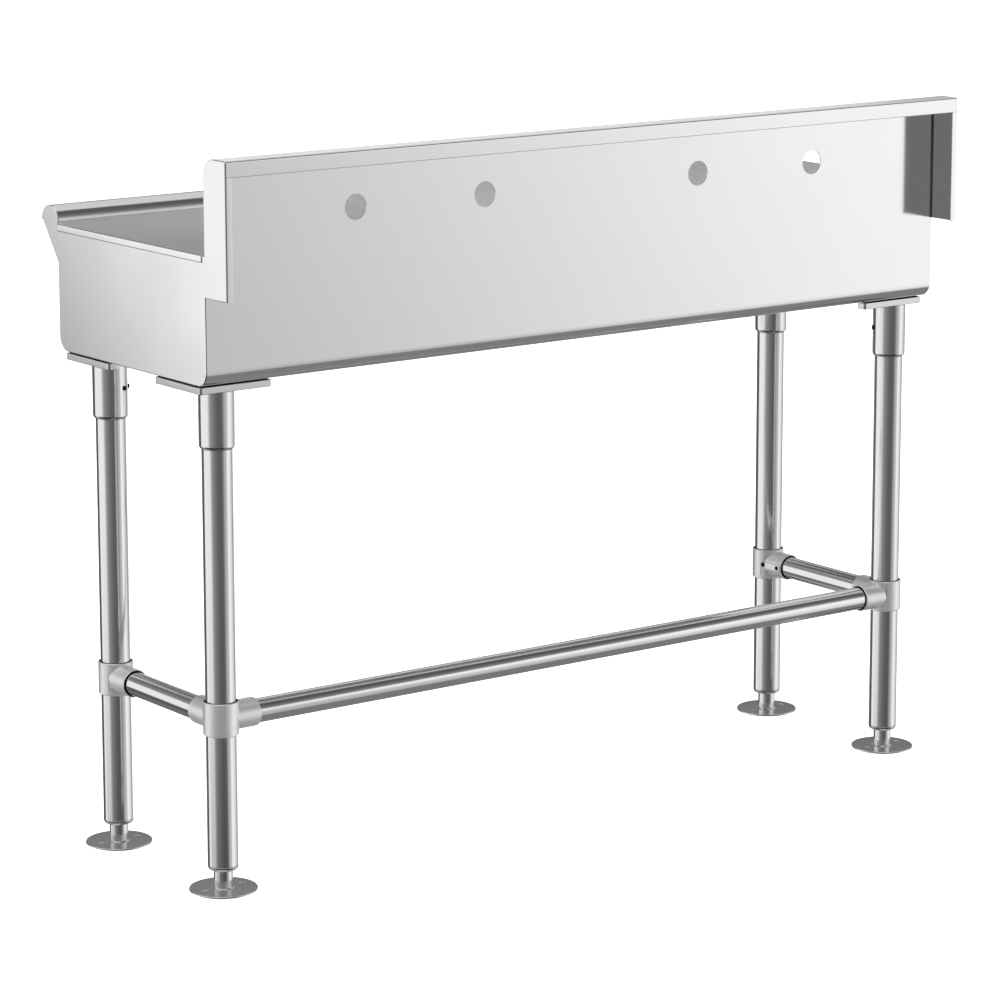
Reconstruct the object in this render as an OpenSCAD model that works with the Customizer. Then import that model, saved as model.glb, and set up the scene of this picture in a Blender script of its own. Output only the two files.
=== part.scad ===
// Floor-standing trough sink for two faucets: a long bent-sheet basin on four tube legs.
// Millimetres. +X runs along the length, the rolled rim faces -Y, the splash stands at +Y, and Z = 0 is the
// floor. Left and right are those of a person who stands at the rolled rim.

/* [Basin] */
// Overall length, over the folded end rims
length = 1219.2; // [1000:0.1:1800]
// Inside width of the bowl, front wall to splash
bowl_width = 355.6; // [320:0.1:450]
// From the face of the splash to the wall side of its rear lip
splash_depth = 50.8; // [45:0.1:80]
// Height of the end rims above the floor
rim_height = 831; // [760:0.1:900]
// Height of the splash top above the end rims
splash_rise = 121.5; // [100:0.1:180]
// Height of the bowl's underside above the floor
underside = 664; // [620:0.1:690]
// Thickness of the stainless sheet
sheet = 1.5; // [1:0.1:2]
// Outside radius of the two long bends of the bowl floor
floor_bend = 20; // [12:0.5:28]
// Outside radius of the bend at the top of the splash
splash_bend = 22; // [10:0.5:30]
// Outside radius of the bends above the rear lip and down the rear corners of the end caps
lip_bend = 2.5; // [2.2:0.1:5]
// Height of the rear lip that is turned down behind the splash
lip_drop = 20.7; // [15:0.1:35]
// Outside radius of the rolled front rim
roll_radius = 21.3; // [16:0.1:24]
// Centre of the roll above the end rims
roll_rise = 1.6; // [0:0.1:6]
// Radius of the ground corner between the end panels and the bowl
corner_radius = 7; // [4:0.5:10]

/* [End panels] */
// How far the closing wedge under the roll reaches down
wedge_drop = 52.4; // [40:0.1:70]
// How far the wedge's front corner stands behind the front of the roll
wedge_set_back = 3.9; // [2.5:0.1:8]
// How far the splash end cap reaches down below the end rims
cap_reach = 53; // [30:0.1:90]
// Width of the flange that the end cap turns in behind the splash
cap_flange = 10; // [6:0.5:20]
// Height of the folded end rim's outer leaf
rim_fold = 9.5; // [6:0.5:14]
// Gap between the folded end rim and the splash
rim_gap = 4.5; // [2:0.5:10]

/* [Faucet holes] */
// Distance between the two holes of a faucet
faucet_pitch = 203.2; // [150:0.1:220]
// From the middle of the sink to the middle of each faucet
faucet_offset = 280; // [240:1:320]
// Height of the hole centres above the end rims
faucet_rise = 42.5; // [34:0.5:60]
// Diameter of a faucet hole
faucet_hole = 33; // [22:0.5:40]

/* [Drain] */
// Diameter of the drain flange in the bowl
drain_flange = 86; // [78:0.5:100]
// Thickness of the drain flange
drain_flange_thickness = 2.4; // [2:0.1:3]
// Depth of the dished seat pressed into the bowl floor
drain_seat_depth = 3; // [2.6:0.1:5]
// Outside diameter of the drain's threaded barrel
barrel_diameter = 52; // [50:0.5:56]
// Outside diameter of the drain's outlet below the barrel
outlet_diameter = 48; // [44:0.5:49]
// Inside diameter of the drain's outlet
outlet_bore = 40; // [36:0.5:42]
// How far the outlet reaches below the dished seat
outlet_drop = 25; // [21:0.5:40]
// Thickness of the rubber gasket under the bowl
gasket_thickness = 3; // [2:0.5:5]
// Height of the drain locknut
locknut_height = 8; // [6:0.5:10]
// Width over the locknut's lugs
locknut_width = 70; // [66:0.5:80]
// Diameter of the strainer's rim
strainer_diameter = 60; // [54:0.5:66]
// Thickness of the strainer's metal
strainer_metal = 1; // [0.8:0.1:1.2]
// Depth of the strainer's cup
strainer_depth = 13; // [9:0.5:16]
// Diameter of a strainer hole
strainer_hole = 4.2; // [3:0.1:5]
// Height of the strainer's lifting knob above its rim
knob_height = 8; // [6:0.5:14]

/* [Legs] */
// Outside diameter of a leg tube
leg_diameter = 40; // [34:0.1:45]
// Wall of the leg and brace tubes
tube_wall = 1.5; // [1.2:0.1:2]
// From the end of the sink to the middle of a leg
leg_from_end = 41.8; // [38:0.1:80]
// From the front wall to the middle of a front leg
leg_from_front = 58.5; // [50:0.1:90]
// From the rear wall to the middle of a rear leg
leg_from_rear = 41.2; // [38:0.1:90]
// Height of the lower end of the leg tubes above the floor
leg_bottom = 33; // [28:0.5:50]

/* [Leg mountings] */
// Side of the triangular gusset, along either wall of the bowl
gusset_side = 108; // [100:1:150]
// Width of the gusset's blunt tips
gusset_tip = 14; // [10:0.5:24]
// Depth of the gusset tray
gusset_depth = 9; // [7:0.5:14]
// Metal of the gusset tray
gusset_metal = 2; // [1.5:0.1:3]
// Gap between the gusset tray's edge and the bowl
gusset_gap = 2; // [1:0.1:3]
// Radius of the gusset's upright corners
gusset_corner = 4; // [3:0.5:6]
// From the end of the sink to the gusset's outer edge
gusset_from_end = 2.6; // [2:0.1:6]
// From the middle of a front leg to its gusset's front edge
gusset_front_reach = 46; // [40:0.5:48]
// From the middle of a rear leg to its gusset's rear edge
gusset_rear_reach = 24; // [23.5:0.1:40]
// Margin between the gusset tray's edge and the mounting pad inside it
pad_margin = 9; // [6:0.5:14]
// Wall of the leg socket
socket_wall = 3; // [2:0.1:4]
// Clearance between the socket and the leg tube, on the radius
socket_clearance = 0.25; // [0.1:0.05:0.4]
// Length of the socket below the gusset
socket_length = 76; // [60:1:100]
// Rounding of the socket's lower end
socket_round = 6; // [4:0.5:8]
// From the gusset down to the socket's set screws
socket_screw_drop = 34; // [20:1:50]
// Angle between the inward diagonal and each set screw of a socket
socket_screw_angle = 22.5; // [15:0.5:30]

/* [Braces] */
// Outside diameter of a brace tube
brace_diameter = 31.8; // [28:0.1:34]
// Height of the braces above the floor
brace_height = 228; // [150:1:400]
// Wall of the cast fittings
fitting_wall = 1.75; // [1.5:0.05:3]
// Gap between a fitting and the leg tube, on the radius
collar_gap = 1.5; // [0.5:0.1:2]
// Gap between a fitting's arm and its brace tube, on the radius
arm_gap = 1.3; // [0.5:0.1:2]
// Height of a fitting's collar
collar_height = 44; // [40:1:60]
// Reach of a fitting's arm from the middle of the leg
arm_reach = 50; // [44:1:64]
// Rounding of a fitting's outer edges, at its collar and at the mouths of its arms
casting_round = 1.5; // [1:0.1:1.5]
// Depth of the arm's socket
arm_socket = 23; // [16:0.5:24]
// Height of the flat pad beside the arm
screw_pad = 10; // [8:0.5:14]

/* [Set screws] */
// Diameter of a set screw
screw_diameter = 6; // [5:0.5:8]
// Clearance between a set screw and its hole, on the radius
screw_clearance = 0.1; // [0.05:0.05:0.2]
// How far a set screw stands out
screw_stand = 2; // [1:0.1:3]

/* [Feet] */
// Diameter of the foot's flange
foot_diameter = 89; // [76:0.5:110]
// Thickness of the foot's flange
foot_thickness = 2.5; // [2:0.1:4]
// Distance between the two anchor holes of a foot
anchor_pitch = 57; // [46:0.5:66]
// Diameter of an anchor hole
anchor_hole = 6.5; // [5:0.1:9]
// Diameter of the foot's stem
stem_diameter = 25; // [20:0.1:28]
// Length of the foot's stem
stem_length = 90; // [80:1:120]
// Running clearance between the stem and the leg insert, on the radius
stem_clearance = 0.06; // [0.03:0.01:0.1]
// Height of the insert's head below the leg tube
insert_head = 6; // [5:0.5:8]
// Rounding of the insert's head
insert_round = 5; // [3:0.5:5]
// Length of the insert inside the leg tube
insert_length = 30; // [20:1:40]
// Clearance between the insert and the leg tube, on the radius
insert_clearance = 0.1; // [0.05:0.05:0.2]
// Height of the weld bead around the stem's foot
weld_bead = 1.6; // [1:0.1:2.5]

/* [Hidden] */

$fn = 96;
eps = 0.01;     // overrun of a cut past a face
LEFT = -1;
RIGHT = 1;
FRONT = -1;
REAR = 1;
// Directions of a fitting's arms in its leg's own frame: across to the other row of legs, or along the sink.
ACROSS = 270;
ALONG = 180;
TEE_ARMS = [ACROSS];
CORNER_ARMS = [ACROSS, ALONG];
INWARD = 225;   // towards the middle of the bowl

SHEET_COLOUR = "#cfd1d2";
TUBE_COLOUR = "#d8dadb";
CAST_COLOUR = "#b9bcbe";
FLANGE_COLOUR = "#9a9c9d";
SCREW_COLOUR = "#2b2b2c";
RUBBER_COLOUR = "#222222";

// Profile of the basin, in Y and Z.
lip_y = (splash_depth + bowl_width + 2 * roll_radius) / 2;
splash_y = lip_y - splash_depth;                // face of the splash, and the bowl's rear wall
rear_wall_y = splash_y + sheet;
front_inside_y = splash_y - bowl_width;
front_wall_y = front_inside_y - sheet;
roll_y = front_inside_y - roll_radius;
roll_z = rim_height + roll_rise;
wedge_z = roll_z - wedge_drop;
wedge_shoulder = 0.7;                           // the wedge's front corner is this far below the roll's edge
height = rim_height + splash_rise;
cap_z = rim_height - cap_reach;
faucet_z = rim_height + faucet_rise;
floor_inside_z = underside + sheet;
seat_z = floor_inside_z - drain_seat_depth;     // top of the dished drain seat

// Ends of the basin, in X.
panel_outside_x = length / 2 - sheet;
panel_inside_x = panel_outside_x - sheet;
bowl_middle_y = (splash_y + front_inside_y) / 2;

// Drain, in radii and heights.
seat_slope = drain_seat_depth;                  // the dished seat rises at 45 degrees
seat_margin = 3;
seat_radius = drain_flange / 2 + seat_margin;
drain_hole_gap = 1;
drain_hole_radius = barrel_diameter / 2 + drain_hole_gap;
flange_radius = drain_flange / 2;
flange_top_z = seat_z + drain_flange_thickness;
flange_bevel = 2;                               // width of the bevel on the flange's edge
flange_edge = 1;                                // its depth
strainer_sink = 0.2;                            // the strainer's rim lies this far below the flange's top
ledge_z = flange_top_z - strainer_metal - strainer_sink;
strainer_radius = strainer_diameter / 2;
strainer_gap = 0.5;
cup_gap = 1.5;
cup_radius = outlet_bore / 2 - cup_gap;
cup_inside = cup_radius - strainer_metal;
knob_stem = 2.5;
knob_radius = 6;
knob_cone = 3;
knob_rim = 2;
outlet_z = seat_z - sheet - outlet_drop;
gasket_z = seat_z - sheet - gasket_thickness;
locknut_z = gasket_z - locknut_height;
thread_end = 1.5;                               // the barrel's thread shows this far below the locknut
barrel_z = locknut_z - thread_end;
barrel_gap = 0.1;                               // between the barrel and what is threaded on it
gasket_inset = 2;                               // the gasket's edge inside the locknut's lugs
gasket_radius = locknut_width / 2 - gasket_inset;
lug_height = 4;
lug_width = 10;

// Legs.
leg_x = length / 2 - leg_from_end;
leg_radius = leg_diameter / 2;
leg_inner = leg_radius - tube_wall;
gusset_z = underside - gusset_gap - gusset_depth;
leg_top_gap = 3;                                // the tube stops this far short of the gusset
leg_top = gusset_z - leg_top_gap;
socket_inner = leg_radius + socket_clearance;
socket_radius = socket_inner + socket_wall;
socket_screw_z = gusset_z - socket_screw_drop;

// Fittings.
collar_inner = leg_radius + collar_gap;
collar_radius = collar_inner + fitting_wall;
arm_inner = brace_diameter / 2 + arm_gap;
arm_radius = arm_inner + fitting_wall;
arm_stop = arm_reach - arm_socket;              // blind end of the arm's socket
brace_end_gap = 0.5;
brace_end = arm_stop + brace_end_gap;
pad_rise = 1.5;
pad_face = arm_radius + pad_rise;               // flat face of the pad beside the arm
pad_start = 16;
arm_screw_inset = 7;
arm_screw = arm_reach - arm_screw_inset;
tee_screw_angle = 30;                           // from the inward side of a tee towards its arm
fitting_screw_stand = 1;

// Set screws.
screw_hole_radius = screw_diameter / 2 + screw_clearance;
hex_depth = 2;
hex_diameter = screw_diameter / 2;

// Feet.
insert_outer = leg_inner - insert_clearance;
insert_bottom = leg_bottom - insert_head;
stem_radius = stem_diameter / 2;
stem_bore = stem_radius + stem_clearance;
stem_bevel = 2;

function leg_y(row) = row == FRONT ? front_wall_y + leg_from_front : rear_wall_y - leg_from_rear;

// ---- Shared shapes ----

// Draws a (Y, Z) outline and pulls it along X, from x to x + long.
module along_x(x, long) {
    translate([x, 0, 0]) rotate([90, 0, 90]) linear_extrude(long) children();
}

// Part of a flat ring, from the start angle through the sweep.
module ring_sector(inner, outer, start, sweep) {
    intersection() {
        difference() {
            circle(outer);
            circle(inner);
        }
        polygon(concat([[0, 0]], [for (k = [0:4])
            2 * outer * [cos(start + sweep * k / 4), sin(start + sweep * k / 4)]]));
    }
}

// Edge view of a bent sheet, walked from its free edge along +X. A step is [straight run, bend angle,
// inside radius of the bend], and a bend to the left is positive.
module bent_sheet(steps, i = 0) {
    if (i < len(steps)) {
        run = steps[i][0];
        angle = steps[i][1];
        inner = steps[i][2];
        centre = [0, sign(angle) * (inner + sheet / 2)];
        if (run > 0) translate([0, -sheet / 2]) square([run, sheet]);
        translate([run, 0]) {
            if (angle != 0) translate(centre) ring_sector(inner, inner + sheet, -90 * sign(angle), angle);
            translate(centre) rotate(angle) translate(-centre) bent_sheet(steps, i + 1);
        }
    }
}

// Outline with rounded corners. The points are the centres of the corner circles, in turn to the left.
module rounded_outline(centres, radius) {
    polygon(centres);
    for (i = [0:len(centres) - 1]) {
        here = centres[i];
        next = centres[(i + 1) % len(centres)];
        along = (next - here) / norm(next - here);
        out = radius * [along[1], -along[0]];
        translate(here) circle(radius);
        polygon([here, here + out, next + out, next]);
    }
}

// Square with chosen corners rounded, from [0, 0]. Radii: [lower left, lower right, upper right, upper left].
module soft_square(size, radii) {
    difference() {
        square(size);
        for (k = [0:3]) if (radii[k] > 0) {
            corner = [(k == 1 || k == 2) ? size[0] : 0, k > 1 ? size[1] : 0];
            inward = [(k == 1 || k == 2) ? -1 : 1, k > 1 ? -1 : 1];
            middle = corner + radii[k] * inward;
            difference() {
                translate([min(corner[0], middle[0]), min(corner[1], middle[1])]) square(radii[k]);
                translate(middle) circle(radii[k]);
            }
        }
    }
}

module tube(outer, wall, long) {
    difference() {
        cylinder(r = outer, h = long);
        translate([0, 0, -eps]) cylinder(r = outer - wall, h = long + 2 * eps);
    }
}

// Puts a piece at a leg, and mirrors it so that +X points outward and +Y away from the bowl's middle.
module at_leg(side, row) {
    translate([side * leg_x, leg_y(row), 0])
        mirror([side == LEFT ? 1 : 0, 0, 0]) mirror([0, row == FRONT ? 1 : 0, 0]) children();
}

// ---- Basin ----

// The whole basin is one bent sheet: roll, front wall, floor, rear wall, splash, top return and rear lip.
module basin_shell() {
    steps = [
        [0, -180, roll_radius - sheet],
        [roll_z - underside - floor_bend, 90, floor_bend - sheet],
        [rear_wall_y - front_wall_y - 2 * floor_bend, 90, floor_bend - sheet],
        [height - underside - floor_bend - splash_bend, -90, splash_bend - sheet],
        [splash_depth - splash_bend - lip_bend, -90, lip_bend - sheet],
        [lip_drop - lip_bend, 0, 0]];
    color(SHEET_COLOUR) {
        difference() {
            along_x(-panel_inside_x, 2 * panel_inside_x)
                translate([roll_y - roll_radius + sheet / 2, roll_z]) rotate(90) bent_sheet(steps);
            for (side = [LEFT, RIGHT], hole = [-1, 1])
                translate([side * faucet_offset + hole * faucet_pitch / 2, splash_y - eps, faucet_z])
                    rotate([-90, 0, 0]) cylinder(d = faucet_hole, h = sheet + 2 * eps);
            translate([0, bowl_middle_y, underside - eps])
                cylinder(r = seat_radius + seat_slope, h = sheet + 2 * eps);
            // the rear lip stops at the bends of the end caps
            for (side = [LEFT, RIGHT]) mirror([side == LEFT ? 1 : 0, 0, 0])
                translate([panel_outside_x - lip_bend, lip_y - lip_bend, height - lip_drop - eps])
                    cube([lip_bend, lip_bend + eps, lip_drop - lip_bend + eps]);
        }
        translate([0, bowl_middle_y, 0]) drain_seat();
    }
}

// Dished seat of the drain, pressed down into the floor around the drain hole.
module drain_seat() {
    rotate_extrude() polygon([
        [drain_hole_radius, seat_z - sheet],
        [seat_radius, seat_z - sheet],
        [seat_radius + seat_slope, underside],
        [seat_radius + seat_slope, floor_inside_z],
        [seat_radius, seat_z],
        [drain_hole_radius, seat_z]]);
}

// Outline of an end panel in Y and Z: bowl end, roll cap with its wedge, and splash end cap.
module end_outline() {
    translate([front_wall_y, underside])
        soft_square([rear_wall_y - front_wall_y, rim_height - underside], [floor_bend, floor_bend, 0, 0]);
    intersection() {
        translate([roll_y, roll_z]) circle(roll_radius);
        translate([roll_y - roll_radius, roll_z]) square(2 * roll_radius);
    }
    polygon([
        [roll_y - roll_radius + sheet, roll_z],
        [roll_y - roll_radius + wedge_set_back, roll_z - wedge_shoulder],
        [front_wall_y, wedge_z],
        [front_inside_y, wedge_z],
        [front_inside_y, roll_z]]);
    translate([splash_y, cap_z])
        soft_square([splash_depth, height - cap_z], [0, 0, lip_bend, splash_bend]);
}

// Concave bead that rounds the inner corner between an end panel and the bowl.
module corner_bead_section() {
    difference() {
        square(corner_radius);
        translate([corner_radius, corner_radius]) circle(corner_radius);
    }
}

module corner_bead() {
    inner_bend = floor_bend - sheet;
    // up the front wall and up the rear wall
    for (wall = [[front_inside_y, 1], [splash_y, -1]])
        translate([panel_inside_x, wall[0], underside + floor_bend])
            mirror([1, 0, 0]) mirror([0, wall[1] < 0 ? 1 : 0, 0])
                linear_extrude(rim_height - underside - floor_bend) corner_bead_section();
    // along the floor
    translate([panel_inside_x, front_wall_y + floor_bend, floor_inside_z])
        mirror([1, 0, 0]) rotate([-90, 0, 0]) mirror([0, 1, 0])
            linear_extrude(rear_wall_y - front_wall_y - 2 * floor_bend) corner_bead_section();
    // round the two floor bends
    for (bend = [[front_wall_y + floor_bend, 180], [rear_wall_y - floor_bend, 270]])
        translate([panel_inside_x, bend[0], underside + floor_bend]) rotate([90, 0, 90])
            rotate([0, 0, bend[1]]) rotate_extrude(angle = 90)
                translate([inner_bend, 0]) mirror([1, 0]) mirror([0, 1]) corner_bead_section();
}

// Right-hand end panel: flat sheet with a folded rim, a turned-in flange and its ground inner corner.
module end_panel() {
    fold_front = front_wall_y;
    fold_long = splash_y - rim_gap - fold_front;
    along_x(panel_inside_x, sheet) difference() {
        end_outline();
        translate([fold_front, rim_height - sheet]) square([fold_long, sheet + eps]);
        translate([lip_y - lip_bend, cap_z - eps]) square([lip_bend + eps, height - lip_bend - cap_z + eps]);
    }
    translate([panel_inside_x, fold_front, rim_height - rim_fold]) rotate([90, 0, 0]) mirror([0, 0, 1])
        linear_extrude(fold_long) soft_square([2 * sheet, rim_fold], [0, 0, sheet, sheet]);
    // the cap's rear corner is bent inward, and below the rear lip it goes on as a flange
    translate([panel_outside_x - lip_bend, lip_y - sheet / 2, cap_z])
        linear_extrude(height - lip_bend - cap_z) bent_sheet([[0, -90, lip_bend - sheet]]);
    translate([panel_outside_x - cap_flange, lip_y - sheet, cap_z])
        cube([cap_flange - lip_bend, sheet, height - lip_drop - cap_z]);
    corner_bead();
}

module end_panel_left() color(SHEET_COLOUR) mirror([1, 0, 0]) end_panel();
module end_panel_right() color(SHEET_COLOUR) end_panel();

// ---- Drain ----

module at_drain() {
    translate([0, bowl_middle_y, 0]) children();
}

// Flange and threaded outlet, turned in one piece, with a ledge for the strainer.
module drain_body() color(TUBE_COLOUR) at_drain() rotate_extrude() polygon([
    [outlet_bore / 2, outlet_z],
    [outlet_diameter / 2, outlet_z],
    [outlet_diameter / 2, barrel_z],
    [barrel_diameter / 2, barrel_z],
    [barrel_diameter / 2, seat_z],
    [flange_radius, seat_z],
    [flange_radius, flange_top_z - flange_edge],
    [flange_radius - flange_bevel, flange_top_z],
    [strainer_radius + strainer_gap, flange_top_z],
    [strainer_radius + strainer_gap, ledge_z],
    [outlet_bore / 2, ledge_z]]);

module drain_gasket() color(RUBBER_COLOUR) at_drain() translate([0, 0, gasket_z])
    tube(gasket_radius, gasket_radius - barrel_diameter / 2 - barrel_gap, gasket_thickness);

// Round nut with four lugs for a spud wrench.
module drain_locknut() color(TUBE_COLOUR) at_drain() translate([0, 0, locknut_z])
    linear_extrude(locknut_height) difference() {
        union() {
            circle(locknut_width / 2 - lug_height);
            for (turn = [45:90:315])
                rotate(turn) translate([0, -lug_width / 2]) square([locknut_width / 2, lug_width]);
        }
        circle(barrel_diameter / 2 + barrel_gap);
    }

// Lift-out crumb strainer: rimmed cup with rings of holes in its floor and a knob in the middle.
module strainer() color(TUBE_COLOUR) at_drain() translate([0, 0, ledge_z]) {
    rings = [[0.4, 6], [0.78, 12]];     // share of the cup's radius, holes in that ring
    difference() {
        rotate_extrude() polygon([
            [0, strainer_metal - strainer_depth],
            [0, -strainer_depth],
            [cup_radius, -strainer_depth],
            [cup_radius, 0],
            [strainer_radius, 0],
            [strainer_radius, strainer_metal],
            [cup_inside, strainer_metal],
            [cup_inside, strainer_metal - strainer_depth]]);
        for (ring = rings, k = [0:ring[1] - 1])
            rotate(360 * k / ring[1]) translate([ring[0] * cup_radius, 0, -strainer_depth - eps])
                cylinder(d = strainer_hole, h = strainer_metal + 2 * eps);
    }
    rotate_extrude() polygon([
        [0, strainer_metal - strainer_depth],
        [knob_stem, strainer_metal - strainer_depth],
        [knob_stem, knob_height - knob_cone],
        [knob_radius, knob_height],
        [knob_radius, knob_height + knob_rim],
        [0, knob_height + knob_rim]]);
}

// ---- Leg mountings ----

// The gusset is a right triangle with blunt tips. Its outer corner is [0, 0], its sides lie along +X and +Y.
// Centres of its corner circles, set in from its edges.
function gusset_corners(inset) = let (far = gusset_side - inset, tip = gusset_tip - inset * (sqrt(2) - 1))
    [[inset, inset], [far, inset], [far, tip], [tip, far], [inset, far]];

// The same for the mounting pad, which is a triangle with sharp tips set in further.
function pad_corners(inset) = let (far = gusset_side + gusset_tip - inset * (1 + sqrt(2)))
    [[inset, inset], [far, inset], [inset, far]];

// Moves to the gusset's outer corner, with +X and +Y pointing inward under the bowl.
module at_gusset(side, row) {
    reach = row == FRONT ? gusset_front_reach : gusset_rear_reach;
    at_leg(side, row) translate([leg_from_end - gusset_from_end, reach, 0])
        mirror([1, 0, 0]) mirror([0, 1, 0]) children();
}

// Shallow three-cornered tray, open towards the bowl.
module gusset(side, row) color(SHEET_COLOUR) at_gusset(side, row) translate([0, 0, gusset_z]) difference() {
    linear_extrude(gusset_depth) rounded_outline(gusset_corners(gusset_corner), gusset_corner);
    translate([0, 0, gusset_metal]) linear_extrude(gusset_depth)
        rounded_outline(gusset_corners(gusset_corner), gusset_corner - gusset_metal);
}

// Block inside the tray that carries the gusset on the bowl's underside.
module mounting_pad(side, row) color(SHEET_COLOUR) at_gusset(side, row)
    translate([0, 0, gusset_z + gusset_metal])
        linear_extrude(underside - gusset_z - gusset_metal)
            rounded_outline(pad_corners(pad_margin + gusset_corner), gusset_corner);

// Socket welded under the gusset, closed in around the tube at its lower end.
module leg_socket(side, row) color(TUBE_COLOUR) at_leg(side, row) difference() {
    translate([0, 0, gusset_z - socket_length]) rotate_extrude() difference() {
        translate([socket_inner, 0]) square([socket_wall, socket_length]);
        difference() {
            translate([socket_radius - socket_round, 0]) square(socket_round);
            translate([socket_radius - socket_round, socket_round]) circle(socket_round);
        }
    }
    socket_screw_places() cylinder(r = screw_hole_radius, h = socket_radius + screw_stand);
}

// Axes of a socket's two set screws, pointing outward from its leg tube.
module socket_screw_places() {
    for (turn = [-1, 1]) translate([0, 0, socket_screw_z])
        rotate(INWARD + turn * socket_screw_angle) rotate([0, 90, 0]) children();
}

module mounting_pad_front_left() mounting_pad(LEFT, FRONT);
module mounting_pad_front_right() mounting_pad(RIGHT, FRONT);
module mounting_pad_rear_left() mounting_pad(LEFT, REAR);
module mounting_pad_rear_right() mounting_pad(RIGHT, REAR);
module gusset_front_left() gusset(LEFT, FRONT);
module gusset_front_right() gusset(RIGHT, FRONT);
module gusset_rear_left() gusset(LEFT, REAR);
module gusset_rear_right() gusset(RIGHT, REAR);
module leg_socket_front_left() leg_socket(LEFT, FRONT);
module leg_socket_front_right() leg_socket(RIGHT, FRONT);
module leg_socket_rear_left() leg_socket(LEFT, REAR);
module leg_socket_rear_right() leg_socket(RIGHT, REAR);

// ---- Legs and feet ----

module leg_tube(side, row) color(TUBE_COLOUR) at_leg(side, row)
    translate([0, 0, leg_bottom]) tube(leg_radius, tube_wall, leg_top - leg_bottom);

// Plug in the leg's lower end, with a rounded head and the bore that the foot's stem turns in.
module leg_insert(side, row) color(TUBE_COLOUR) at_leg(side, row) rotate_extrude() {
    translate([stem_bore, insert_bottom])
        soft_square([leg_radius - stem_bore, insert_head], [0, insert_round, 0, 0]);
    translate([stem_bore, leg_bottom - eps]) square([insert_outer - stem_bore, insert_length + eps]);
}

module foot_stem(side, row) color(TUBE_COLOUR) at_leg(side, row) rotate_extrude()
    translate([0, foot_thickness]) polygon([
        [0, 0],
        [stem_radius, 0],
        [stem_radius, stem_length - stem_bevel],
        [stem_radius - stem_bevel, stem_length],
        [0, stem_length]]);

// Round floor flange with two anchor holes and the weld bead that holds the stem.
module foot_flange(side, row) color(FLANGE_COLOUR) at_leg(side, row) {
    difference() {
        cylinder(d = foot_diameter, h = foot_thickness);
        for (hole = [-1, 1]) translate([hole * anchor_pitch / 2, 0, -eps])
            cylinder(d = anchor_hole, h = foot_thickness + 2 * eps);
    }
    translate([0, 0, foot_thickness]) rotate_extrude() intersection() {
        translate([stem_radius, 0]) circle(weld_bead);
        translate([stem_radius, 0]) square(weld_bead);
    }
}

module leg_tube_front_left() leg_tube(LEFT, FRONT);
module leg_tube_front_right() leg_tube(RIGHT, FRONT);
module leg_tube_rear_left() leg_tube(LEFT, REAR);
module leg_tube_rear_right() leg_tube(RIGHT, REAR);
module leg_insert_front_left() leg_insert(LEFT, FRONT);
module leg_insert_front_right() leg_insert(RIGHT, FRONT);
module leg_insert_rear_left() leg_insert(LEFT, REAR);
module leg_insert_rear_right() leg_insert(RIGHT, REAR);
module foot_stem_front_left() foot_stem(LEFT, FRONT);
module foot_stem_front_right() foot_stem(RIGHT, FRONT);
module foot_stem_rear_left() foot_stem(LEFT, REAR);
module foot_stem_rear_right() foot_stem(RIGHT, REAR);
module foot_flange_front_left() foot_flange(LEFT, FRONT);
module foot_flange_front_right() foot_flange(RIGHT, FRONT);
module foot_flange_rear_left() foot_flange(LEFT, REAR);
module foot_flange_rear_right() foot_flange(RIGHT, REAR);

// ---- Braces ----

// Cast fitting on a leg, with one arm towards the other row of legs and, at a corner, one along the sink.
module fitting(arms) {
    difference() {
        union() {
            translate([0, 0, -collar_height / 2]) rotate_extrude()
                soft_square([collar_radius, collar_height], [0, casting_round, casting_round, 0]);
            for (arm = arms) rotate(arm) {
                rotate([0, 90, 0]) rotate_extrude()
                    soft_square([arm_radius, arm_reach], [0, 0, casting_round, 0]);
                translate([pad_start, arm == ACROSS ? -pad_face : 0, -screw_pad / 2])
                    cube([arm_reach - casting_round - pad_start, pad_face, screw_pad]);
            }
        }
        translate([0, 0, -collar_height / 2 - eps]) cylinder(r = collar_inner, h = collar_height + 2 * eps);
        for (arm = arms) rotate(arm) translate([arm_stop, 0, 0]) rotate([0, 90, 0])
            cylinder(r = arm_inner, h = arm_socket + eps);
        fitting_screw_places(arms) cylinder(r = screw_hole_radius, h = $face + screw_diameter);
    }
}

// Axes of a fitting's set screws, pointing outward. $grip is the radius of the tube that a screw presses on,
// and $face is how far from its axis the metal ends. A corner's collar screw leaves where its two pads meet.
module fitting_screw_places(arms) {
    corner = len(arms) > 1;
    rotate(corner ? INWARD : ALONG + tee_screw_angle) rotate([0, 90, 0]) {
        $grip = leg_radius;
        $face = corner ? sqrt(2) * pad_face : collar_radius;
        children();
    }
    for (arm = arms) rotate(arm) translate([arm_screw, 0, 0]) rotate([arm == ACROSS ? 90 : -90, 0, 0]) {
        $grip = brace_diameter / 2;
        $face = pad_face;
        children();
    }
}

module at_fitting(side, row) {
    at_leg(side, row) translate([0, 0, brace_height]) children();
}

module tee_fitting_left() color(CAST_COLOUR) at_fitting(LEFT, FRONT) fitting(TEE_ARMS);
module tee_fitting_right() color(CAST_COLOUR) at_fitting(RIGHT, FRONT) fitting(TEE_ARMS);
module corner_fitting_left() color(CAST_COLOUR) at_fitting(LEFT, REAR) fitting(CORNER_ARMS);
module corner_fitting_right() color(CAST_COLOUR) at_fitting(RIGHT, REAR) fitting(CORNER_ARMS);

module side_brace(side) color(TUBE_COLOUR)
    translate([side * leg_x, leg_y(FRONT) + brace_end, brace_height]) rotate([-90, 0, 0])
        tube(brace_diameter / 2, tube_wall, leg_y(REAR) - leg_y(FRONT) - 2 * brace_end);

module side_brace_left() side_brace(LEFT);
module side_brace_right() side_brace(RIGHT);

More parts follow.
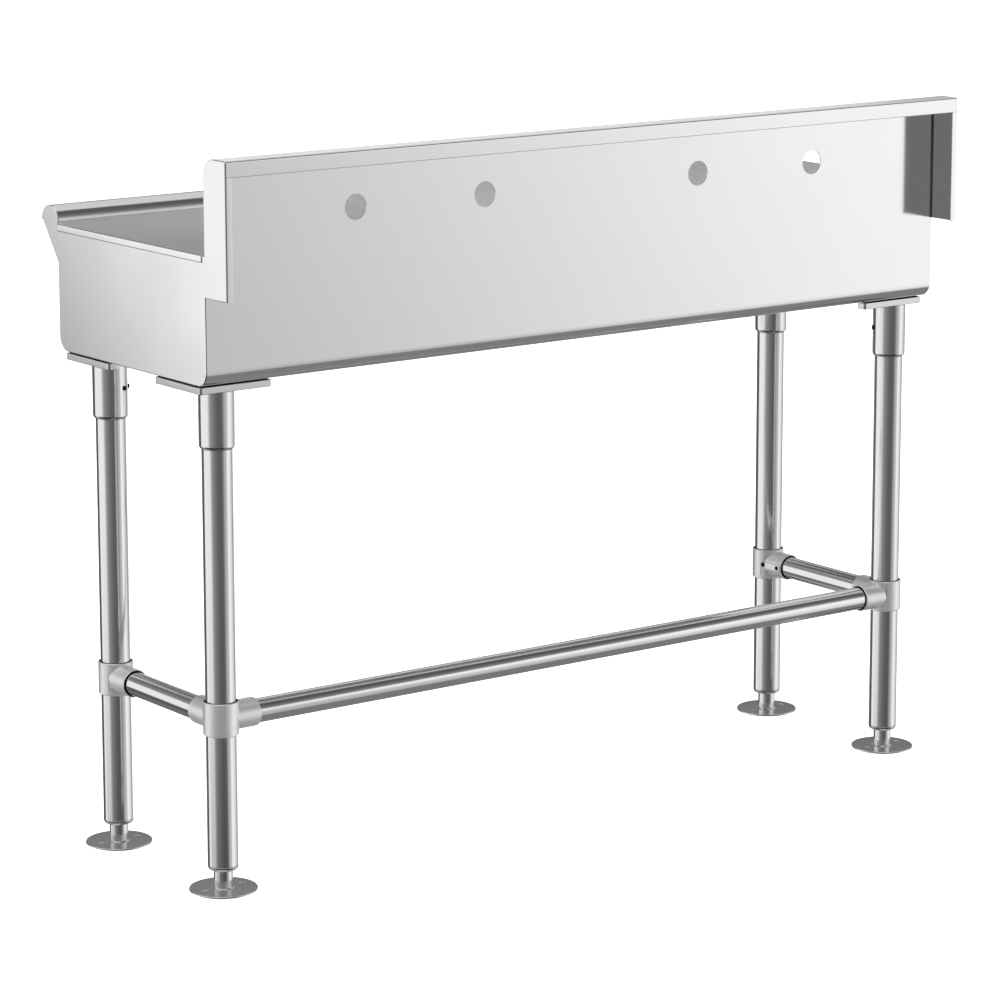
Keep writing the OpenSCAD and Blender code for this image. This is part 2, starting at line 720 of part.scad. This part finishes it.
module rear_brace() color(TUBE_COLOUR)
    translate([-leg_x + brace_end, leg_y(REAR), brace_height]) rotate([0, 90, 0])
        tube(brace_diameter / 2, tube_wall, 2 * (leg_x - brace_end));

// ---- Set screws ----

// Socket-head set screw along +Z, from the tube it presses on to its outer end.
module set_screw(from, to) {
    difference() {
        translate([0, 0, from]) cylinder(d = screw_diameter, h = to - from);
        translate([0, 0, to - hex_depth]) cylinder(d = hex_diameter, h = hex_depth + eps, $fn = 6);
    }
}

module socket_set_screws() color(SCREW_COLOUR)
    for (side = [LEFT, RIGHT], row = [FRONT, REAR]) at_leg(side, row)
        socket_screw_places() set_screw(leg_radius, socket_radius + screw_stand);

module fitting_set_screws() color(SCREW_COLOUR)
    for (side = [LEFT, RIGHT], row = [FRONT, REAR]) at_fitting(side, row)
        fitting_screw_places(row == FRONT ? TEE_ARMS : CORNER_ARMS)
            set_screw($grip, $face + fitting_screw_stand);

basin_shell();
end_panel_left();
end_panel_right();
drain_body();
drain_gasket();
drain_locknut();
strainer();
mounting_pad_front_left();
mounting_pad_front_right();
mounting_pad_rear_left();
mounting_pad_rear_right();
gusset_front_left();
gusset_front_right();
gusset_rear_left();
gusset_rear_right();
leg_socket_front_left();
leg_socket_front_right();
leg_socket_rear_left();
leg_socket_rear_right();
leg_tube_front_left();
leg_tube_front_right();
leg_tube_rear_left();
leg_tube_rear_right();
leg_insert_front_left();
leg_insert_front_right();
leg_insert_rear_left();
leg_insert_rear_right();
foot_stem_front_left();
foot_stem_front_right();
foot_stem_rear_left();
foot_stem_rear_right();
foot_flange_front_left();
foot_flange_front_right();
foot_flange_rear_left();
foot_flange_rear_right();
tee_fitting_left();
tee_fitting_right();
corner_fitting_left();
corner_fitting_right();
side_brace_left();
side_brace_right();
rear_brace();
socket_set_screws();
fitting_set_screws();
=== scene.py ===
import math

import bmesh
import bpy
from mathutils import Matrix, Vector


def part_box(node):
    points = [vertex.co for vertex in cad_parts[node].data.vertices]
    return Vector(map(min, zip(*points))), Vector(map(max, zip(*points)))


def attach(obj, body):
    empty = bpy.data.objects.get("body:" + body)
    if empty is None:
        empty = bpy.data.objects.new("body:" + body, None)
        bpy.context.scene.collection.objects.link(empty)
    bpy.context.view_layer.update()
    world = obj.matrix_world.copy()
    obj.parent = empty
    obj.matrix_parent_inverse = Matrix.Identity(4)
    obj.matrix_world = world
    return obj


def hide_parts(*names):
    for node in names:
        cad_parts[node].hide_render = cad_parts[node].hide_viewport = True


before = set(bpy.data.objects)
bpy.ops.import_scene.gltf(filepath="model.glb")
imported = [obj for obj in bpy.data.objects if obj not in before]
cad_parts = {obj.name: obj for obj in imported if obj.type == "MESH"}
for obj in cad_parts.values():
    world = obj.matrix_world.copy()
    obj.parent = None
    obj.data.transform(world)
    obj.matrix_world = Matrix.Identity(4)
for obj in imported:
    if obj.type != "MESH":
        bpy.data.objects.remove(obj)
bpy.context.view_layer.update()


# ---- Basin ----
# One 1.5 mm stainless sheet, bent into the rolled rim, front wall, floor, rear wall, splash and rear lip.
# It is 304 with a No. 4 finish: belt-ground across its length, so fine streaks run up the walls. The holes
# and the lip are deburred. Lengths are in millimetres, unless a name or a comment says otherwise.

SHEET = 1.5
SHARP_DEG = 35              # a fold sharper than this is an edge, and the rest of a bend is smooth
SAME_POINT = 0.02           # points nearer than this are one
FLAT_DEG = 0.5              # faces that differ by less are one flat face
CLOUDS_PER_METRE = 9.0      # hand-sized patches that came out a little duller
PAINTED_SHADE = "#141415"            # painted shade in narrow joints
SHELL_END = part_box("basin_shell")[1][0] * 1000      # the sheet's end, where the end panel is welded on
SHELL_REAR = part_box("basin_shell")[1][1] * 1000
WELDED_END = 1.1            # edges this near the sheet's end are welded flush
LIP_DEPTH = 5.0             # the rear lip lies within this distance of the sheet's rear


def linear(hex_colour):
    """sRGB hex colour as linear RGBA."""
    parts = [int(hex_colour[i:i + 2], 16) / 255 for i in (1, 3, 5)]
    return [c / 12.92 if c <= 0.04045 else ((c + 0.055) / 1.055) ** 2.4 for c in parts] + [1.0]


def add(tree, kind, inputs=None, **settings):
    """Adds a node with its settings, and links or sets its inputs."""
    made = tree.nodes.new("ShaderNode" + kind)
    for name, value in settings.items():
        setattr(made, name, value)
    for name, value in (inputs or {}).items():
        if isinstance(value, bpy.types.NodeSocket):
            tree.links.new(value, made.inputs[name])
        else:
            made.inputs[name].default_value = value
    return made


def painted_shade_in_gaps(tree, unshaded_colour, gap_mm):
    """Painted shade: darkens the colour in joints narrower than gap_mm, found by ambient occlusion."""
    open_sky = add(tree, "AmbientOcclusion", {"Distance": gap_mm / 1000}, samples=8)
    open_share = add(tree, "MapRange", {"Value": open_sky.outputs["AO"], "From Min": 0.25, "From Max": 0.6})
    return add(tree, "Mix", {"Factor": open_share.outputs["Result"], "A": linear(PAINTED_SHADE), "B": unshaded_colour},
               data_type="RGBA").outputs["Result"]


def brushed_steel(name, light, dark, roughness, grain_mm, spread=0.05, depth=0.04, gap_mm=None):
    """Ground stainless. grain_mm is a streak's size along X, Y and Z, gap_mm that of a joint given painted
    shade.

    Real scratches are under 0.1 mm wide, too fine to show, so every grain is drawn coarser.
    """
    material = bpy.data.materials.new(name)
    material.use_nodes = True
    tree = material.node_tree
    tree.nodes.clear()
    place = add(tree, "TexCoord").outputs["Object"]
    streaks = add(tree, "Mapping", {"Vector": place, "Scale": [1000 / mm for mm in grain_mm]})
    fine = add(tree, "TexNoise", {"Vector": streaks.outputs["Vector"], "Scale": 1.0, "Detail": 3.0,
                                  "Roughness": 0.6})
    cloud = add(tree, "TexNoise", {"Vector": place, "Scale": CLOUDS_PER_METRE, "Detail": 2.0})
    colour = add(tree, "Mix", {"Factor": fine.outputs["Fac"], "A": linear(dark), "B": linear(light)},
                 data_type="RGBA")
    worn = add(tree, "MapRange", {"Value": cloud.outputs["Fac"], "From Min": 0.3, "From Max": 0.7,
                                  "To Min": roughness - spread / 2, "To Max": roughness + spread / 2})
    rough = add(tree, "Math", {0: fine.outputs["Fac"], 1: spread, 2: worn.outputs["Result"]},
                operation="MULTIPLY_ADD")
    bump = add(tree, "Bump", {"Height": fine.outputs["Fac"], "Strength": depth, "Distance": 0.0002})
    surface = colour.outputs["Result"]
    # narrow joints are darkened with painted shade
    if gap_mm:
        surface = painted_shade_in_gaps(tree, surface, gap_mm)
    shader = add(tree, "BsdfPrincipled", {"Base Color": surface, "Metallic": 1.0,
                                          "Roughness": rough.outputs["Value"],
                                          "Normal": bump.outputs["Normal"]})
    add(tree, "OutputMaterial", {"Surface": shader.outputs["BSDF"]})
    return material


def satin_sheet(way, roughness, grain_mm):
    """Belt-ground 304 sheet. The belt leaves it evenly soft, with a faint streak."""
    return brushed_steel("satin_sheet_ground_" + way, "#fcfcfc", "#f9f9f9", roughness, grain_mm, 0.03, 0.015)


def dress(node, material, edge_mm=0.4, sharp_deg=SHARP_DEG):
    """Gives a CAD node its finish, and breaks its sharp edges as a deburring wheel does."""
    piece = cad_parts[node]
    piece.data.materials.clear()
    piece.data.materials.append(material)
    weld = piece.modifiers.new("weld", "WELD")
    weld.merge_threshold = SAME_POINT / 1000
    bevel = piece.modifiers.new("edge", "BEVEL")
    bevel.width = edge_mm / 1000
    bevel.segments = 3
    bevel.limit_method = "ANGLE"
    bevel.angle_limit = math.radians(sharp_deg)
    bevel.use_clamp_overlap = False
    shade = piece.modifiers.new("shade", "WEIGHTED_NORMAL")
    shade.keep_sharp = False


def ground(node, radius_at, material):
    """Stands in for a CAD sheet, with sharp edges rounded. radius_at gives the radius at an edge's middle."""
    piece = bpy.data.objects.new("ground_" + node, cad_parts[node].data.copy())
    bpy.context.scene.collection.objects.link(piece)
    piece.data.attributes.remove(piece.data.attributes["custom_normal"])
    piece.data.materials.clear()
    piece.data.materials.append(material)
    sheet = bmesh.new()
    sheet.from_mesh(piece.data)
    bmesh.ops.remove_doubles(sheet, verts=sheet.verts, dist=SAME_POINT / 1000)
    bmesh.ops.dissolve_limit(sheet, angle_limit=math.radians(FLAT_DEG), verts=sheet.verts, edges=sheet.edges)
    edges = {}
    for edge in sheet.edges:
        if edge.is_manifold and edge.calc_face_angle_signed() > math.radians(SHARP_DEG):
            middle = (edge.verts[0].co + edge.verts[1].co) / 2 * 1000
            edges.setdefault(radius_at(*middle), []).append(edge)
    for radius in sorted(edges, reverse=True):
        if radius > 0:
            alive = [edge for edge in edges[radius] if edge.is_valid]
            bmesh.ops.bevel(sheet, geom=alive, offset=radius / 1000, offset_type="OFFSET", segments=4,
                            profile=0.5, affect="EDGES", clamp_overlap=False)
    for face in sheet.faces:
        face.smooth = True
    for edge in sheet.edges:
        edge.smooth = not edge.is_manifold or edge.calc_face_angle() < math.radians(SHARP_DEG)
    sheet.to_mesh(piece.data)
    sheet.free()
    shade = piece.modifiers.new("shade", "WEIGHTED_NORMAL")
    shade.keep_sharp = True
    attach(piece, "sink")
    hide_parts(node)
    return piece


def shell_radius(x, y, z):
    """The rear lip's edge is dressed round, and the holes are only deburred."""
    if abs(x) > SHELL_END - WELDED_END:
        return 0
    return 1.0 if y > SHELL_REAR - LIP_DEPTH else 0.4


ground("basin_shell", shell_radius, satin_sheet("across", 0.12, (5, 300, 300)))


# ---- End panels ----
# Flat pieces of the same sheet, welded into the basin's ends and ground flush. Their rims are folded over,
# and the inner corners are blended with a small ground radius. Here the belt ran upright.

PANEL_FACE = SHELL_END + SHEET      # outer face of the sheet
FLANGE_EDGE = PANEL_FACE - 9        # the cap's turned-in flange ends further in than this
FLANGE_BEND = PANEL_FACE - 2.5
FLANGE_SPRING_DEG = 0.3             # how far the flange springs past square
CAP_BOTTOM = 778.0
RIM_TOP = 831.0
RIM_FOLD = 9.5
RIM_LEAN_DEG = 1.0                  # how far the folded rim leans in towards its top


def panel_radius(x, y, z):
    """The outer corners are ground to the sheet's thickness, the folded rim and the flange sharper."""
    if abs(x) > PANEL_FACE + 0.1:
        return 1.2
    if abs(x) < FLANGE_EDGE and y > SHELL_REAR - LIP_DEPTH:
        return 0.7
    return 1.4 if abs(x) > PANEL_FACE - 0.1 else 0


def lean(x, y, z):
    """Moves a point of the flange or of the folded rim as the metal springs."""
    if abs(x) < FLANGE_BEND and y > SHELL_REAR - 2:
        y -= (FLANGE_BEND - abs(x)) * math.tan(math.radians(FLANGE_SPRING_DEG))
    if abs(x) > PANEL_FACE + 0.01:
        x -= math.copysign((z - RIM_TOP + RIM_FOLD) * math.tan(math.radians(RIM_LEAN_DEG)), x)
    return x, y, z


satin_upright = satin_sheet("upright", 0.09, (300, 5, 300))
for side in ("left", "right"):
    panel = ground("end_panel_" + side, panel_radius, satin_upright)
    for vertex in panel.data.vertices:
        vertex.co = Vector(lean(*(vertex.co * 1000))) / 1000


# ---- Splash corner welds ----
# Inside the splash's end caps, the sheet's ends are joined by a TIG bead that nobody sees from the front.
# It is left as welded, with its ripples, and coloured dark grey as painted shade for the shaded inner corner.

WELD_RADIUS = 2.0
WELD_RIPPLE = 1.6           # from ripple to ripple along the bead
WELD_SWELL = 0.1            # how much a ripple swells, as a share of the radius
RINGS_PER_RIPPLE = 4
BEAD_SIDES = 6              # sides of the quarter round that shows
SPLASH_DEPTH = 50.8
SPLASH_BACK = SHELL_REAR - SPLASH_DEPTH + SHEET
SPLASH_BEND = 22.0
BEAD_LOW = CAP_BOTTOM
BEAD_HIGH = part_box("end_panel_right")[1][2] * 1000 - SPLASH_BEND
# the bead's dark grey is painted shade
weld_painted_shade = brushed_steel("tig_weld_painted_shade", "#8d8c8a", "#6f6e6d", 0.34, (2, 2, WELD_RIPPLE), 0.1, 0.1)
rows = int((BEAD_HIGH - BEAD_LOW) / WELD_RIPPLE * RINGS_PER_RIPPLE)
turns = [math.radians(90 * j / BEAD_SIDES) for j in range(BEAD_SIDES + 1)]
for side, sign in (("left", -1), ("right", 1)):
    bead = bmesh.new()
    rings = []
    for k in range(rows + 1):
        height = (BEAD_LOW + (BEAD_HIGH - BEAD_LOW) * k / rows) / 1000
        swell = WELD_RADIUS * (1 + WELD_SWELL * math.sin(2 * math.pi * k / RINGS_PER_RIPPLE))
        ring = [bead.verts.new((sign * (SHELL_END - swell * math.cos(turn)) / 1000,
                                (SPLASH_BACK + swell * math.sin(turn)) / 1000, height)) for turn in turns]
        ring.append(bead.verts.new((sign * SHELL_END / 1000, SPLASH_BACK / 1000, height)))
        rings.append(ring)
    for low, high in zip(rings, rings[1:]):
        for j in range(len(low)):
            bead.faces.new((low[j], low[(j + 1) % len(low)], high[(j + 1) % len(low)], high[j]))
    bead.faces.new(rings[0])
    bead.faces.new(rings[-1])
    bmesh.ops.recalc_face_normals(bead, faces=bead.faces)
    for face in bead.faces:
        face.smooth = len(face.verts) == 4
    weld = bpy.data.objects.new("splash_corner_weld_" + side, bpy.data.meshes.new("weld_" + side))
    bead.to_mesh(weld.data)
    bead.free()
    weld.data.materials.append(weld_painted_shade)
    bpy.context.scene.collection.objects.link(weld)
    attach(weld, "sink")


# ---- Drain ----
# Stainless flange and barrel turned in one piece, clamped to the floor by a locknut on a rubber gasket.
# Turning leaves fine rings that dull it. The strainer lifts out by its knob, and is stamped from brighter
# sheet. The gasket is moulded black rubber, with a matt, slightly uneven skin.

turned_drain = brushed_steel("turned_stainless", "#c6c6c6", "#b8b8b8", 0.3, (4, 4, 0.4))
# The strainer's slots and joints are darkened with painted shade.
stamped_strainer = brushed_steel("stamped_bright_sheet", "#f4f4f4", "#ececec", 0.16, (2, 2, 2), gap_mm=2.0)
for node in ("drain_body", "drain_locknut"):
    dress(node, turned_drain, 0.2)
dress("strainer", stamped_strainer, 0.2)


def mottled(name, light, dark, spots_per_metre, roughness, metallic=0.0, detail=2.0, gap_mm=None):
    """A surface whose tone varies in soft spots, without any streaks."""
    material = bpy.data.materials.new(name)
    material.use_nodes = True
    tree = material.node_tree
    place = add(tree, "TexCoord").outputs["Object"]
    spots = add(tree, "TexNoise", {"Vector": place, "Scale": spots_per_metre, "Detail": detail})
    tone = add(tree, "Mix", {"Factor": spots.outputs["Fac"], "A": linear(dark), "B": linear(light)},
               data_type="RGBA")
    surface = tone.outputs["Result"]
    # narrow joints are darkened with painted shade
    if gap_mm:
        surface = painted_shade_in_gaps(tree, surface, gap_mm)
    skin = tree.nodes["Principled BSDF"].inputs
    tree.links.new(surface, skin["Base Color"])
    skin["Roughness"].default_value = roughness
    skin["Metallic"].default_value = metallic
    return material


dress("drain_gasket", mottled("moulded_black_rubber", "#202020", "#151515", 900.0, 0.7), 0.2)


# ---- Gussets ----
# Shallow three-cornered trays pressed from the same stainless. Each is fixed to a pad under the bowl, and
# the pad is coloured dark as painted shade, for the shaded slot above the tray.

LEGS = [row + "_" + side for row in ("front", "rear") for side in ("left", "right")]

gusset_steel = brushed_steel("pressed_satin_sheet", "#f3f3f3", "#ececec", 0.28, (2, 2, 2))
# the pads' dark colour is painted shade
painted_shade_pad = brushed_steel("pad_dark_painted_shade", "#39393a", "#242425", 0.5, (3, 3, 3), 0.1)
for leg in LEGS:
    dress("gusset_" + leg, gusset_steel, 1.0)
    dress("mounting_pad_" + leg, painted_shade_pad, 0.3)


# ---- Leg sockets and legs ----
# Drawn stainless tube, polished along its length until it mirrors the room in long bands. It stands in
# sockets that are closed in around it at the lower end.

STREAK = 0.8                # width of the polish's streaks
STREAK_LENGTH = 120


def polished_tube(way, grain_mm):
    """Drawn stainless tube, polished along its length."""
    return brushed_steel("polished_tube_" + way, "#f7f7f7", "#f1f1f1", 0.1, grain_mm, 0.04, 0.03)


polished_upright = polished_tube("upright", (STREAK, STREAK, STREAK_LENGTH))
for leg in LEGS:
    dress("leg_socket_" + leg, polished_upright, 0.3, sharp_deg=50)
    dress("leg_tube_" + leg, polished_upright, 0.6)


# ---- Braces ----
# The same polished tube, smaller, held level between the legs by cast fittings.

dress("rear_brace", polished_tube("along", (STREAK_LENGTH, STREAK, STREAK)), 0.3)
polished_across = polished_tube("across", (STREAK, STREAK_LENGTH, STREAK))
for side in ("left", "right"):
    dress("side_brace_" + side, polished_across, 0.3)


# ---- Fittings ----
# Aluminium castings, sand-blasted to an even, dull, fine-grained grey, with their edges broken. The tubes
# enter them with a narrow gap, darkened with painted shade. The grit is drawn at 0.7 mm, coarser than real,
# to show.

GRIT_PER_METRE = 1400.0

# gap_mm darkens the joints with painted shade
cast = mottled("blasted_cast_aluminium", "#fcfcfc", "#f3f3f3", 70.0, 0.4, 0.9, detail=3.0, gap_mm=4.0)
blast = cast.node_tree
place = add(blast, "TexCoord").outputs["Object"]
grit = add(blast, "TexNoise", {"Vector": place, "Scale": GRIT_PER_METRE, "Detail": 2.0})
pits = add(blast, "Bump", {"Height": grit.outputs["Fac"], "Strength": 0.25, "Distance": 0.0003})
blast.links.new(pits.outputs["Normal"], blast.nodes["Principled BSDF"].inputs["Normal"])
for side in ("left", "right"):
    dress("tee_fitting_" + side, cast, 0.6)
    dress("corner_fitting_" + side, cast, 0.6)


# ---- Set screws ----
# Alloy-steel socket screws with a black oxide finish, a little oily.

black_oxide = mottled("black_oxide_steel", "#2c2c2e", "#1c1c1d", 500.0, 0.35, metallic=0.6)
for node in ("socket_set_screws", "fitting_set_screws"):
    dress(node, black_oxide, 0.3)


# ---- Feet ----
# A turned stainless plug closes each leg, a polished stem screws into it, and a disc is welded to the stem.
# The plug is darkened round the stem with painted shade.

# gap_mm darkens the plug round the stem with painted shade
turned_plug = brushed_steel("turned_plug", "#dcdcdc", "#d2d2d2", 0.12, (20, 20, 0.3), 0.04, 0.03, gap_mm=9.0)
polished_disc = brushed_steel("polished_disc", "#f6f6f6", "#efefef", 0.08, (1.5, 1.5, 1.5), 0.04, 0.02)
for leg in LEGS:
    dress("leg_insert_" + leg, turned_plug, 0.6)
    dress("foot_stem_" + leg, polished_upright, 0.3)
    dress("foot_flange_" + leg, polished_disc, 0.9)


# ---- Floor, light and camera ----
# A pale floor, a soft overhead light, and a room of tall soft boxes that the steel mirrors. Places are in
# metres, angles in degrees, and the compass turns from -Y towards +X.

FLOOR_SIZE = 120.0
FLOOR_HEIGHT = -0.026       # just below the feet at their long limit, so it hides no part of them
bpy.ops.mesh.primitive_plane_add(size=FLOOR_SIZE, location=(0, 0, FLOOR_HEIGHT))
floor = bpy.context.active_object
floor.name = "floor"
floor.visible_glossy = False
paper = bpy.data.materials.new("pale_floor")
paper.use_nodes = True
matt = paper.node_tree.nodes["Principled BSDF"].inputs
matt["Base Color"].default_value = linear("#f4f4f4")
matt["Roughness"].default_value = 1.0
matt["Specular IOR Level"].default_value = 0.0
matt["Emission Color"].default_value = (1, 1, 1, 1)
matt["Emission Strength"].default_value = 0.88
floor.data.materials.append(paper)

world = bpy.data.worlds.new("studio")
bpy.context.scene.world = world
world.use_nodes = True
room = world.node_tree
room.nodes.clear()
# Light round the room near eye level, as (compass, brightness).
ROUND_THE_ROOM = [(0, 0.1), (10, 0.1), (22, 0.1), (27, 0.02), (29.3, 0.36), (32.6, 1.13), (34, 0.88),
                  (38, 0.88), (46, 0.9), (72, 0.89), (88, 0.88), (94, 0.58), (106, 0.29), (130, 0.18),
                  (150, 0.12), (176, 0.11), (188, 0.24), (199, 0.46), (211, 0.49), (217, 0.72), (223, 0.98),
                  (232, 0.93), (245, 0.85), (256, 0.72), (266, 0.55), (281, 0.25), (290, 0.15)]
# The rest of the room, as (height above the horizon, brightness).
UP_THE_ROOM = [(-90, 0.1), (-66, 0.1), (-58, 0.2), (0, 0.2), (20, 0.25), (38, 0.1), (56, 0.09), (63, 0.7),
               (90, 1.1)]
EYE_LEVEL = ((-36.0, -25.0), (21.0, 12.0))      # heights where the light round the room fades in and out
LEAN = 0.5                  # the soft boxes lean by this many degrees of compass for each degree of height
UPRIGHT_AT = -8.6           # height where the compass is true
BACKDROP = 0.95             # brightness of the room where it is seen directly
way = add(room, "SeparateXYZ", {"Vector": add(room, "TexCoord").outputs["Generated"]})
to_front = add(room, "Math", {0: way.outputs["Y"], 1: -1.0}, operation="MULTIPLY")
turn = add(room, "Math", {0: way.outputs["X"], 1: to_front.outputs["Value"]}, operation="ARCTAN2")
azimuth = add(room, "Math", {0: turn.outputs["Value"]}, operation="DEGREES")
lift = add(room, "Math", {0: way.outputs["Z"]}, operation="ARCSINE")
height = add(room, "Math", {0: lift.outputs["Value"]}, operation="DEGREES")
leaned = add(room, "Math", {0: height.outputs["Value"], 1: LEAN, 2: azimuth.outputs["Value"]},
             operation="MULTIPLY_ADD")
trued = add(room, "Math", {0: leaned.outputs["Value"], 1: -LEAN * UPRIGHT_AT}, operation="ADD")
compass = add(room, "Math", {0: trued.outputs["Value"], 1: 360.0, 2: 0.0}, operation="WRAP")


def between(angle, low, high):
    """1 between two angles. low and high are pairs of angles, from dark to full."""
    rise, fall = (add(room, "MapRange", {"Value": angle.outputs["Value"], "From Min": dark, "From Max": full},
                      interpolation_type="SMOOTHSTEP") for dark, full in (low, high))
    return add(room, "Math", {0: rise.outputs["Result"], 1: fall.outputs["Result"]}, operation="MULTIPLY")


def lit(base, mask, brightness):
    """Goes over from the base to a new brightness where the mask is 1."""
    mix = add(room, "Mix", {"Factor": mask.outputs["Value"], "A": base, "B": brightness}, data_type="FLOAT")
    return mix.outputs["Result"]


def light_by(angle, low, high, lights):
    """Brightness by angle, straight from light to light. low and high are the ends of the angle's range."""
    share = add(room, "MapRange", {"Value": angle.outputs["Value"], "From Min": low, "From Max": high})
    shades = add(room, "ValToRGB", {"Fac": share.outputs["Result"]})
    stops = shades.color_ramp.elements
    for k, (at, brightness) in enumerate(lights):
        place = (at - low) / (high - low)
        stop = stops[k] if k < len(stops) else stops.new(place)
        stop.position = place
        stop.color = (brightness, brightness, brightness, 1.0)
    return shades.outputs["Color"]


# The light on a ledge above the front of the room steps up from its left part to its right part.
ledge = add(room, "MapRange", {"Value": compass.outputs["Value"], "From Min": 324.2, "From Max": 326.0,
                               "To Min": 0.42, "To Max": 0.86})
# Soft boxes and one dark flag: the compass from dark to full at either side, the height likewise, brightness.
PANELS = [((284.0, 291.0), (334.0, 322.0), (-30.0, -20.0), (1.0, -3.0), 0.86),
          ((284.0, 291.0), (364.0, 356.0), (2.5, 5.0), (12.0, 9.5), ledge.outputs["Result"]),
          ((276.0, 286.0), (352.0, 346.0), (22.0, 29.0), (66.0, 60.0), 0.62),
          ((42.0, 60.0), (214.0, 200.0), (27.0, 36.0), (74.0, 64.0), 0.7),
          ((296.0, 306.0), (364.0, 356.0), (-80.0, -66.0), (-36.0, -44.0), 0.5),
          ((40.0, 60.0), (196.0, 184.0), (-75.0, -65.0), (-12.0, -24.0), 0.04)]
light = lit(light_by(height, -90, 90, UP_THE_ROOM), between(height, *EYE_LEVEL),
            light_by(compass, 0, 360, ROUND_THE_ROOM))
for left, right, bottom, top, brightness in PANELS:
    patch = add(room, "Math", {0: between(compass, left, right).outputs["Value"],
                               1: between(height, bottom, top).outputs["Value"]}, operation="MULTIPLY")
    light = lit(light, patch, brightness)
seen = add(room, "LightPath").outputs["Is Camera Ray"]
shown = add(room, "Mix", {"Factor": seen, "A": light, "B": BACKDROP}, data_type="FLOAT")
background = add(room, "Background", {"Color": (1, 1, 1, 1), "Strength": shown.outputs["Result"]})
add(room, "OutputWorld", {"Surface": background.outputs["Background"]})

LIT_POINT = Vector((0, 0, 0.4))
key_light = bpy.data.lights.new("overhead", "AREA")
key_light.shape = "DISK"
key_light.size = 6.0
key_light.energy = 420.0
key = bpy.data.objects.new("overhead", key_light)
key.location = (1.5, 2.0, 5.0)
key.rotation_euler = (Vector(key.location) - LIT_POINT).to_track_quat("Z", "Y").to_euler()
key.visible_glossy = False
key.visible_camera = False
bpy.context.scene.collection.objects.link(key)

CAMERA_PLACE = Vector((3.1528, 4.2183, 1.5351))
CAMERA_AZIMUTH, CAMERA_ELEVATION, CAMERA_ROLL = (math.radians(a) for a in (143.44, 10.53, -0.08))
LENS_MM = 140.44
FRAME_SHIFT = -0.1          # of the picture's width
lens = bpy.data.cameras.new("camera")
lens.lens = LENS_MM
lens.shift_y = FRAME_SHIFT
lens.clip_end = 200.0
camera = bpy.data.objects.new("camera", lens)
back = Vector((math.sin(CAMERA_AZIMUTH) * math.cos(CAMERA_ELEVATION),
               -math.cos(CAMERA_AZIMUTH) * math.cos(CAMERA_ELEVATION), math.sin(CAMERA_ELEVATION)))
roll = Matrix.Rotation(CAMERA_ROLL, 3, "Z").to_quaternion()
camera.rotation_mode = "QUATERNION"
camera.location = CAMERA_PLACE
camera.rotation_quaternion = back.to_track_quat("Z", "Y") @ roll
bpy.context.scene.collection.objects.link(camera)
bpy.context.scene.camera = camera
bpy.context.scene.view_settings.view_transform = "Standard"
MANY_BOUNCES = 24           # light gets out of the steel bowl only after many reflections
bpy.context.scene.cycles.max_bounces = MANY_BOUNCES
bpy.context.scene.cycles.glossy_bounces = MANY_BOUNCES
